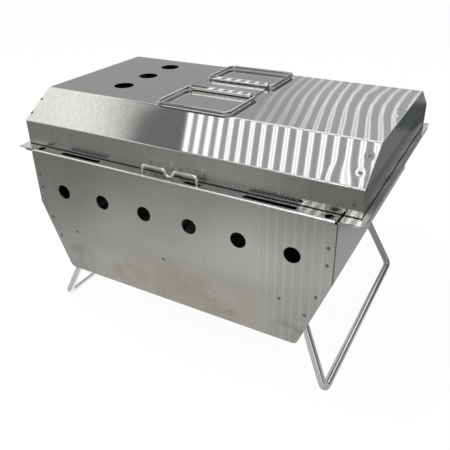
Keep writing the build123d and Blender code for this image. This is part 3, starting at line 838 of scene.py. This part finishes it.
def weld_mark_finish():
    finish = Finish("weld_mark_steel")
    tree = finish.tree
    marks = finish.noise(**WELD_MARKS)
    out = node(tree, "ShaderNodeAttribute", attribute_name="out").outputs["Fac"]
    ring = product(tree, fade(tree, out, *BURNT_INSIDE), fade(tree, out, *BURNT_OUTSIDE))
    burnt = math(tree, "ADD", ring, swing(tree, marks, WELD_MARKS_SHADE), clamp=True)
    light = blend_colours(tree, burnt, DISH_GREY, BURNT_DARK)
    roughness = total(tree, product(tree, marks, WELD_MARKS_ROUGHNESS), WELD_ROUGHNESS)
    return finish.steel(light, roughness)


def weld_mark_tree(material):
    """Geometry nodes that press a dished ring at every point, facing along the point's normal."""
    tree = bpy.data.node_groups.new("spot_weld_marks", "GeometryNodeTree")
    sockets = tree.interface
    sockets.new_socket("Geometry", in_out="INPUT", socket_type="NodeSocketGeometry")
    radius = sockets.new_socket("Mark Radius", in_out="INPUT", socket_type="NodeSocketFloat")
    radius.default_value = WELD_RADIUS
    rise = sockets.new_socket("Rim Rise", in_out="INPUT", socket_type="NodeSocketFloat")
    rise.default_value = WELD_RISE
    sockets.new_socket("Geometry", in_out="OUTPUT", socket_type="NodeSocketGeometry")
    inputs = node(tree, "NodeGroupInput")
    points, radius, rise = inputs.outputs[0], inputs.outputs[1], inputs.outputs[2]
    # A disc of rings, lifted by its distance from the middle into a rim with a dished centre
    circle = {"Vertices": WELD_SIDES, "Radius": 1.0}
    disc = node(tree, "GeometryNodeMeshCircle", circle, fill_type="TRIANGLE_FAN").outputs[0]
    rings = {"Mesh": disc, "Level": WELD_RINGS_LEVEL}
    fine = node(tree, "GeometryNodeSubdivideMesh", rings).outputs[0]
    spot = node(tree, "GeometryNodeInputPosition").outputs[0]
    out = node(tree, "ShaderNodeVectorMath", {0: spot}, operation="LENGTH").outputs["Value"]
    edge = ramp(tree, out, *DISH_EDGE)
    fall = ramp(tree, out, *RIM_FALL)
    lift = product(tree, math(tree, "MINIMUM", edge, fall), rise)
    lift = total(tree, lift, WELD_GAP)
    split = node(tree, "ShaderNodeSeparateXYZ", {0: spot})
    wide_x = product(tree, split.outputs[0], radius)
    wide_y = product(tree, split.outputs[1], radius)
    place = node(tree, "ShaderNodeCombineXYZ", {0: wide_x, 1: wide_y, 2: lift}).outputs[0]
    stored = {0: fine, "Name": "out", "Value": out}
    marked = node(tree, "GeometryNodeStoreNamedAttribute", stored).outputs[0]
    placed = {"Geometry": marked, "Position": place}
    shaped = node(tree, "GeometryNodeSetPosition", placed).outputs[0]
    named = {"Name": "facing"}
    named_facing = node(tree, "GeometryNodeInputNamedAttribute", named, data_type="FLOAT_VECTOR")
    facing = {"Vector": named_facing.outputs[0]}
    turned = node(tree, "FunctionNodeAlignRotationToVector", facing, axis="Z").outputs[0]
    pressed = {"Points": points, "Instance": shaped, "Rotation": turned}
    marks = node(tree, "GeometryNodeInstanceOnPoints", pressed).outputs[0]
    real = node(tree, "GeometryNodeRealizeInstances", {"Geometry": marks}).outputs[0]
    done = node(tree, "GeometryNodeSetMaterial", {"Geometry": real, "Material": material})
    node(tree, "NodeGroupOutput", {0: done.outputs[0]})
    return tree


def weld_marks(name, body, spots, tree):
    """One piece with a mark at each spot, a place and the way it faces."""
    mesh = bpy.data.meshes.new(name + "_spots")
    mesh.from_pydata([place for place, _ in spots], [], [])
    facing = mesh.attributes.new("facing", "FLOAT_VECTOR", "POINT")
    for value, (_, way) in zip(facing.data, spots):
        value.vector = way
    seed = bpy.data.objects.new(name, mesh)
    bpy.context.scene.collection.objects.link(seed)
    modifier = seed.modifiers.new("marks", "NODES")
    modifier.node_group = tree
    bpy.context.view_layer.update()
    evaluated = seed.evaluated_get(bpy.context.evaluated_depsgraph_get())
    made = bpy.data.meshes.new_from_object(evaluated)
    made.name = name
    seed.modifiers.clear()
    seed.data = made
    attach(seed, body)


# Places along the panel and heights of its welds at each end: two on the upright tab, two on the
# sloped one and one on the charcoal grate's rail, which has another in the middle
RIGHT_PANEL_WELDS = [
    (0.193, 0.206),
    (0.193, 0.1855),
    (0.184, 0.143),
    (0.173, 0.115),
    (0.143, 0.127),
]
LEFT_PANEL_WELDS = [
    (-0.193, 0.2035),
    (-0.1925, 0.186),
    (-0.184, 0.1435),
    (-0.1745, 0.1175),
    (-0.144, 0.1315),
]
RAIL_MIDDLE_WELD = (-0.008, 0.131)
# One on each wall of the lid, towards the right end: its place along X and its height
LID_WALL_WELD = (0.2095, 0.2506)


def panel_weld_spots():
    """Places and directions of the weld marks on the front and rear panel."""
    spots = []
    for front in (-1, 1):
        for x, z in RIGHT_PANEL_WELDS + LEFT_PANEL_WELDS + [RAIL_MIDDLE_WELD]:
            spots.append((Vector((x, front * PANEL_OUT_Y, z)), Vector((0, front, 0))))
    return spots


def lid_weld_spots():
    """Places and directions of the weld marks on the lid's top, walls and bevels."""
    slope = (LID_TOP_Z - LID_WALL_Z) / (LID_HALF_DEPTH - LID_TOP_HALF_DEPTH)
    bevel_out = Vector((0, slope, 1)).normalized()
    top_x, top_y = TOP_WELD
    wall_x, wall_z = LID_WALL_WELD
    spots = [(Vector((side * top_x, top_y, LID_TOP_Z)), Vector((0, 0, 1))) for side in (-1, 1)]
    for front in (-1, 1):
        spots.append((Vector((wall_x, front * LID_HALF_DEPTH, wall_z)), Vector((0, front, 0))))
        for x, y in RIGHT_BEVEL_WELDS + LEFT_BEVEL_WELDS:
            place = Vector((x, front * y, LID_TOP_Z - (y - LID_TOP_HALF_DEPTH) * slope))
            spots.append((place, Vector((0, front * bevel_out.y, bevel_out.z))))
    return spots


mark_tree = weld_mark_tree(weld_mark_finish())
weld_marks("panel_weld_marks", "body", panel_weld_spots(), mark_tree)
weld_marks("lid_weld_marks", "lid", lid_weld_spots(), mark_tree)


# Studio: a plain white floor and background. Metal sees them too, and soft cards and slatted
# light panels, which the camera doesn't see.
WHITE = (1.0, 1.0, 1.0)
WORLD_FILL = 0.8
FLOOR_WHITE_SHARE = 0.95
FLOOR_MATT = (0.85, 0.85, 0.85)
FLOOR_HALF = 6


def seen_straight_or_in_metal(tree):
    """1 for the camera and for reflections, else 0."""
    path = node(tree, "ShaderNodeLightPath").outputs
    seen = math(tree, "MAXIMUM", path["Is Camera Ray"], path["Is Glossy Ray"])
    return math(tree, "MAXIMUM", seen, path["Is Transmission Ray"])


def studio_world():
    world = bpy.data.worlds.new("studio")
    bpy.context.scene.world = world
    world.use_nodes = True
    tree = world.node_tree
    tree.nodes.clear()
    level = fade(tree, seen_straight_or_in_metal(tree), 0.0, 1.0, low=WORLD_FILL, high=1.0)
    background = node(tree, "ShaderNodeBackground", {"Color": (*WHITE, 1.0), "Strength": level})
    node(tree, "ShaderNodeOutputWorld", {"Surface": background.outputs[0]})


def flat_sheet(name, corner, along, up):
    """A flat rectangle from one corner and its two sides, and its material's empty node tree."""
    corner, along, up = Vector(corner), Vector(along), Vector(up)
    mesh = bpy.data.meshes.new(name)
    corners = [corner, corner + along, corner + along + up, corner + up]
    mesh.from_pydata(corners, [], [(0, 1, 2, 3)])
    sheet = bpy.data.objects.new(name, mesh)
    bpy.context.scene.collection.objects.link(sheet)
    material = bpy.data.materials.new(name)
    material.use_nodes = True
    material.node_tree.nodes.clear()
    mesh.materials.append(material)
    return sheet, material.node_tree


def floor():
    side = 2 * FLOOR_HALF
    _, tree = flat_sheet("floor", (-FLOOR_HALF, -FLOOR_HALF, 0), (side, 0, 0), (0, side, 0))
    matt = node(tree, "ShaderNodeBsdfDiffuse", {"Color": (*FLOOR_MATT, 1.0)})
    white = node(tree, "ShaderNodeEmission", {"Color": (*WHITE, 1.0), "Strength": 1.0})
    share = product(tree, seen_straight_or_in_metal(tree), FLOOR_WHITE_SHARE)
    mix = node(tree, "ShaderNodeMixShader", {0: share, 1: matt.outputs[0], 2: white.outputs[0]})
    node(tree, "ShaderNodeOutputMaterial", {"Surface": mix.outputs[0]})


def card(name, corner, along, up, paint):
    """A glowing card that only metal sees. Paint gives its brightness and colour at a place."""
    sheet, tree = flat_sheet(name, corner, along, up)
    place = node(tree, "ShaderNodeTexCoord").outputs["Object"]
    split = node(tree, "ShaderNodeSeparateXYZ", {0: place}).outputs
    level, colour = paint(tree, split[0], split[1], split[2])
    colour = colour if isinstance(colour, bpy.types.NodeSocket) else (*colour, 1.0)
    glow = node(tree, "ShaderNodeEmission", {"Color": colour, "Strength": level})
    node(tree, "ShaderNodeOutputMaterial", {"Surface": glow.outputs[0]})
    sheet.visible_camera = False
    sheet.visible_diffuse = False
    sheet.visible_shadow = False
    sheet.visible_volume_scatter = False


def plain(level):
    """The paint of an even white card."""
    return lambda tree, x, y, z: (level, WHITE)


# Each paint gives a card's brightness and colour at a place. Pairs are places on the card, in
# metres, and a low and a high are the brightness at a pair's start and at its end.
COOL_GREY = (0.985, 1.0, 1.0)
FRONT_FLOOR_AWAY_Y = (-0.28, -0.62)
FRONT_FLOOR_LEVEL = {"low": 0.56, "high": 0.32}
FRONT_FLOOR_LEFT_X = (-0.42, -0.26)
FRONT_FLOOR_LEFT_SHARE = 0.74
FRONT_FLOOR_RIGHT_X = (-0.16, -0.04)
FRONT_FLOOR_RIGHT_MORE = 0.40
FRONT_FLOOR_FAR_Y = (-0.56, -0.46)
FRONT_FLOOR_NEAR_Y = (-0.31, -0.39)
FRONT_FLOOR_COLOUR = (1.0, 0.99, 0.965)


def front_floor_paint(tree, x, y, z):
    """Grey that darkens away from the grill and to the left, and is lightest near the right."""
    level = fade(tree, y, *FRONT_FLOOR_AWAY_Y, **FRONT_FLOOR_LEVEL)
    left = fade(tree, x, *FRONT_FLOOR_LEFT_X, low=FRONT_FLOOR_LEFT_SHARE)
    right = product(
        tree,
        fade(tree, x, *FRONT_FLOOR_RIGHT_X, high=FRONT_FLOOR_RIGHT_MORE),
        fade(tree, y, *FRONT_FLOOR_FAR_Y),
        fade(tree, y, *FRONT_FLOOR_NEAR_Y),
    )
    return product(tree, level, left, total(tree, right, 1.0)), FRONT_FLOOR_COLOUR


RIGHT_FLOOR_LEVEL = 0.165
RIGHT_BAND_NEAR_Y = (0.48, 0.52)
RIGHT_BAND_FAR_Y = (0.70, 0.68)
RIGHT_BAND_LESS = -0.085
RIGHT_BAND_BLUE = (0.86, 0.96, 1.0)
BEHIND_BAND_Y = (0.68, 0.71)
BEHIND_BAND_MORE = 0.07


def right_floor_paint(tree, x, y, z):
    """Dark grey, with a darker, bluish band towards the back and a lighter part behind that."""
    band = product(tree, fade(tree, y, *RIGHT_BAND_NEAR_Y), fade(tree, y, *RIGHT_BAND_FAR_Y))
    behind = fade(tree, y, *BEHIND_BAND_Y, high=BEHIND_BAND_MORE)
    level = total(tree, RIGHT_FLOOR_LEVEL, product(tree, band, RIGHT_BAND_LESS), behind)
    return level, blend_colours(tree, band, COOL_GREY, RIGHT_BAND_BLUE)


# The overhead slats: the first one's place, their pitch, how they lean, and their share of it
SLAT_START = -0.6193
SLAT_PITCH = 0.0389
SLAT_LEAN = 0.028
SLAT_MIDDLE_SHARE = 0.50
SLAT_BLUR = 0.02
# Slats further right lean more, about this depth
SLAT_LEAN_MORE = 0.047
SLAT_LEAN_ABOUT = -0.172
SLAT_LEAN_X = (-0.60, -0.34)
SLAT_LEAN_Y = (-0.5, -0.3)
# They get narrower to the right and to the rear, and brighter to the right, where each has a dark
# seam along it
SLAT_SHARE_X = (-0.56, -0.42)
SLAT_SHARES = {"low": 0.52, "high": 0.40}
SLAT_REAR_Y = (0.0, 0.03)
SLAT_REAR_LESS = -0.04
SLAT_LEVEL_X = (-0.52, -0.44)
SLAT_LEVELS = {"low": 1.1, "high": 1.4}
SLAT_SEAM_SHARE = 0.12
SLAT_SEAM_BLUR = 0.03
SLAT_SEAM_LESS = -0.95
# The row begins just before the first slat, after a soft rise. Between its slats it is a little
# brighter than the rest, and darker at the very front.
ROW_BEFORE = (0.004, 0.002)
RISE_BEFORE = 0.014
RISE_MORE = 0.30
GAP_LEVEL = 0.20
ROW_GAP_MORE = {"low": 0.24, "high": -0.08}
# The wide panel on the left
WIDE_X = (-0.82, -0.97)
WIDE_Y = (-1.7, -1.2)
WIDE_FRONT_LEVEL = 0.22
WIDE_FAR_X = (-1.5, -1.1)
WIDE_FAR_LEVEL = 0.80
WIDE_COLOUR = (1.0, 0.985, 0.95)
ROW_LEFT_COLOUR = (0.95, 1.0, 0.985)
# Bright borders before and behind the part that the bracket's rolls show, as the slats' ends are
BORDER_START_Y = (0.00, 0.01)
BORDER_END_Y = (0.05, 0.04)
BORDER_REAR_Y = (0.34, 0.36)
BORDER_X = (-0.90, -0.85)
SLAT_ENDS_NEAR_Y = (-1.15, -1.25)
SLAT_ENDS_FAR_Y = (-1.5, -1.4)
BORDER_LEVEL = 1.6
# Narrow slats at the very front, which the ledge and the lid's foot show
VERY_FRONT_Y = (-1.5, -1.7)
FRONT_SLAT_START = -0.5605
FRONT_SLAT_PITCH = 0.0530
FRONT_SLAT_SHARE = 0.28
FRONT_SLAT_BLUR = 0.06
FRONT_SLATS_RISE = 0.004
FRONT_SLAT_LEVEL = 9.0


def slanted_slats(tree, x, y):
    """Place across the leaning slats, and their turns."""
    more = product(
        tree,
        fade(tree, x, *SLAT_LEAN_X, high=SLAT_LEAN_MORE),
        fade(tree, y, *SLAT_LEAN_Y),
    )
    leaning = product(tree, difference(tree, y, SLAT_LEAN_ABOUT), more)
    slanted = total(tree, x, product(tree, y, SLAT_LEAN), leaning)
    first = SLAT_START - (1 - SLAT_MIDDLE_SHARE) / 2 * SLAT_PITCH
    return slanted, math(tree, "DIVIDE", difference(tree, slanted, first), SLAT_PITCH)


def bright_borders(tree, x, y, row):
    """1 on the slats' front ends and on the borders."""
    border = product(tree, fade(tree, y, *BORDER_START_Y), fade(tree, y, *BORDER_END_Y))
    border = math(tree, "MAXIMUM", border, fade(tree, y, *BORDER_REAR_Y))
    border = product(tree, border, fade(tree, x, *BORDER_X))
    ends = product(tree, fade(tree, y, *SLAT_ENDS_NEAR_Y), fade(tree, y, *SLAT_ENDS_FAR_Y), row)
    return math(tree, "MAXIMUM", ends, border)


def narrow_front_slats(tree, x):
    """1 on each narrow slat at the very front."""
    turns = math(tree, "DIVIDE", difference(tree, x, FRONT_SLAT_START), FRONT_SLAT_PITCH)
    begin = fade(tree, x, FRONT_SLAT_START, FRONT_SLAT_START + FRONT_SLATS_RISE)
    return product(tree, bars(tree, turns, FRONT_SLAT_SHARE, FRONT_SLAT_BLUR), begin)


def overhead_paint(tree, x, y, z):
    """From the left: a wide bright panel with a soft edge, a dark gap and a row of bright slats."""
    slanted, turns = slanted_slats(tree, x, y)
    row = fade(tree, slanted, *[SLAT_START - before for before in ROW_BEFORE])
    share = fade(tree, slanted, *SLAT_SHARE_X, **SLAT_SHARES)
    share = total(tree, share, fade(tree, y, *SLAT_REAR_Y, high=SLAT_REAR_LESS))
    slats = bars(tree, turns, share, SLAT_BLUR)
    slat_level = fade(tree, slanted, *SLAT_LEVEL_X, **SLAT_LEVELS)
    seam = bars(tree, turns, SLAT_SEAM_SHARE, SLAT_SEAM_BLUR)
    seams = product(tree, seam, fade(tree, slanted, *SLAT_LEVEL_X))
    wide = product(
        tree,
        fade(tree, slanted, *WIDE_X),
        fade(tree, y, *WIDE_Y, low=WIDE_FRONT_LEVEL),
        fade(tree, slanted, *WIDE_FAR_X, low=WIDE_FAR_LEVEL),
    )
    very_front = fade(tree, y, *VERY_FRONT_Y)
    rise = fade(tree, slanted, SLAT_START - RISE_BEFORE, SLAT_START, high=RISE_MORE)
    level = total(
        tree,
        GAP_LEVEL,
        product(tree, row, fade(tree, very_front, 0.0, 1.0, **ROW_GAP_MORE)),
        product(tree, narrow_front_slats(tree, x), very_front, FRONT_SLAT_LEVEL),
        product(tree, row, slats, slat_level, inverse(tree, very_front)),
        product(tree, row, slats, seams, SLAT_SEAM_LESS),
        product(tree, rise, difference(tree, 1.0, row)),
        wide,
    )
    borders = product(tree, bright_borders(tree, x, y, row), BORDER_LEVEL)
    level = math(tree, "MAXIMUM", level, borders)
    gap = blend_colours(tree, row, ROW_LEFT_COLOUR, COOL_GREY)
    return level, blend_colours(tree, wide, gap, WIDE_COLOUR)


# The slats seen low in the top run together towards a far point: its place along X and in height
FAR_X = -0.63
FAR_Z = 0.20
FAN_START = -0.589
FAN_PITCH = 0.0743
FAN_SHARE = 0.39
FAN_LOW_SHARE = 0.27
FAN_SHARE_Z = (1.28, 1.48)
FAN_BLUR = 0.03
FAN_BEGIN = (-0.18, -0.02)
# Below this height they lean over, more so to the right
LEAN_TOP = 1.42
LEAN_FAN = (-0.12, 0.12)
LEAN_AMOUNTS = {"low": 17.0, "high": 31.0}
# Each is a pair of lines, whose middle is darker, more so high up
PAIR_INSIDE = 0.19
PAIR_Z = (1.32, 1.44)
PAIR_DARKER = 0.62
FAN_BRIGHT_X = (-1.40, -0.80)
FAN_BRIGHTNESS = {"low": 0.32, "high": 0.78}
FAN_BRIGHT_Z = (1.22, 1.50)
FAN_LOW_BRIGHTNESS = 0.62
BACK_LEVEL = 0.39
BETWEEN_X = (-1.4, -0.9)
BETWEEN_MORE = {"low": 0.02, "high": 0.09}
BACK_RIGHT_X = (0.05, 0.30)
BACK_RIGHT_SHARE = 0.4


def back_paint(tree, x, y, z):
    """Even grey on the left, light lines in pairs that fan out upwards on the right."""
    rise = difference(tree, z, FAR_Z)
    fan = math(tree, "DIVIDE", difference(tree, x, FAR_X), rise)
    first = FAN_START - (1 - FAN_SHARE) / 2 * FAN_PITCH
    turns = math(tree, "DIVIDE", difference(tree, fan, first), FAN_PITCH)
    below = math(tree, "MAXIMUM", difference(tree, LEAN_TOP, z), 0.0)
    turns = difference(
        tree,
        turns,
        product(tree, below, below, fade(tree, fan, *LEAN_FAN, **LEAN_AMOUNTS)),
    )
    share = fade(tree, z, *FAN_SHARE_Z, low=FAN_LOW_SHARE, high=FAN_SHARE)
    band = bars(tree, turns, share, FAN_BLUR)
    inner = bars(tree, turns, difference(tree, share, PAIR_INSIDE), FAN_BLUR)
    darker = product(tree, inner, fade(tree, z, *PAIR_Z, high=PAIR_DARKER))
    brightness = product(
        tree,
        fade(tree, x, *FAN_BRIGHT_X, **FAN_BRIGHTNESS),
        fade(tree, z, *FAN_BRIGHT_Z, low=FAN_LOW_BRIGHTNESS),
    )
    part = fade(tree, fan, *[FAN_START + place for place in FAN_BEGIN])
    level = total(
        tree,
        BACK_LEVEL,
        product(tree, part, fade(tree, x, *BETWEEN_X, **BETWEEN_MORE)),
        product(tree, part, difference(tree, band, darker), brightness),
    )
    right = fade(tree, x, *BACK_RIGHT_X, low=1.0, high=BACK_RIGHT_SHARE)
    return product(tree, level, right), COOL_GREY


# Brightness of the even cards
FRONT_LEVEL = 0.30
RIGHT_LOW_LEVEL = 0.46
RIGHT_LEVEL = 0.16

# Each card's name, one corner, its two sides and its paint
CARDS = [
    ("front_floor_card", (-2.6, -2.4, 0.001), (3.2, 0, 0), (0, 2.25, 0), front_floor_paint),
    ("front_card", (-2.6, -2.4, 0), (4.2, 0, 0), (0, 0, 1.2), plain(FRONT_LEVEL)),
    ("right_floor_card", (0.262, 0.05, 0.1), (0.9, 0, 0), (0, 1.6, 0), right_floor_paint),
    ("right_low_card", (0.12, -0.16, 0.0015), (1.4, 0, 0), (0, 2.0, 0), plain(RIGHT_LOW_LEVEL)),
    ("right_card", (1.7, -1.5, 0), (0, 4.7, 0), (0, 0, 2.2), plain(RIGHT_LEVEL)),
    ("overhead_slats", (-2.4, -2.4, 1.3), (2.8, 0, 0), (0, 4.2, 0), overhead_paint),
    ("back_slats", (-4.2, 3.2, 0.2), (5.9, 0, 0), (0, 0, 1.9), back_paint),
]

# The soft lamp over the grill: its place, where it points, its side and its power in watts
LAMP_PLACE = Vector((-0.4, -0.6, 2.2))
LAMP_AIM = Vector((0, 0, 0.1))
LAMP_SIDE = 1.6
LAMP_POWER = 26.0


def soft_lamp():
    lamp = bpy.data.lights.new("top_softbox", "AREA")
    lamp.shape = "SQUARE"
    lamp.size = LAMP_SIDE
    lamp.energy = LAMP_POWER
    holder = bpy.data.objects.new("top_softbox", lamp)
    holder.location = LAMP_PLACE
    holder.rotation_euler = (LAMP_AIM - LAMP_PLACE).to_track_quat("-Z", "Y").to_euler()
    bpy.context.scene.collection.objects.link(holder)
    holder.visible_glossy = False


studio_world()
floor()
for name, corner, along, up, paint in CARDS:
    card(name, corner, along, up, paint)
soft_lamp()


# The photograph's camera: place, turns in degrees, and focal length and middle in pixels
CAMERA_PLACE = (0.321954, -0.58573, 0.491272)
CAMERA_YAW = 29.225
CAMERA_PITCH = -28.433
CAMERA_ROLL = -0.995
PHOTO_WIDTH = 450
FOCAL_PIXELS = 535.151
MIDDLE_PIXEL_X = 228.801
MIDDLE_PIXEL_Y = 205.584
SENSOR_WIDTH = 36.0
NEAREST = 0.01


def camera():
    lens = bpy.data.cameras.new("camera")
    lens.sensor_width = SENSOR_WIDTH
    lens.lens = FOCAL_PIXELS * SENSOR_WIDTH / PHOTO_WIDTH
    lens.shift_x = (PHOTO_WIDTH / 2 - MIDDLE_PIXEL_X) / PHOTO_WIDTH
    lens.shift_y = (MIDDLE_PIXEL_Y - PHOTO_WIDTH / 2) / PHOTO_WIDTH
    lens.clip_start = NEAREST
    holder = bpy.data.objects.new("camera", lens)
    turn = Matrix.Rotation(radians(CAMERA_YAW), 4, "Z")
    turn = turn @ Matrix.Rotation(radians(90 + CAMERA_PITCH), 4, "X")
    turn = turn @ Matrix.Rotation(radians(CAMERA_ROLL), 4, "Z")
    holder.matrix_world = Matrix.Translation(CAMERA_PLACE) @ turn
    bpy.context.scene.collection.objects.link(holder)
    bpy.context.scene.camera = holder


camera()
bpy.context.scene.view_settings.view_transform = "Standard"
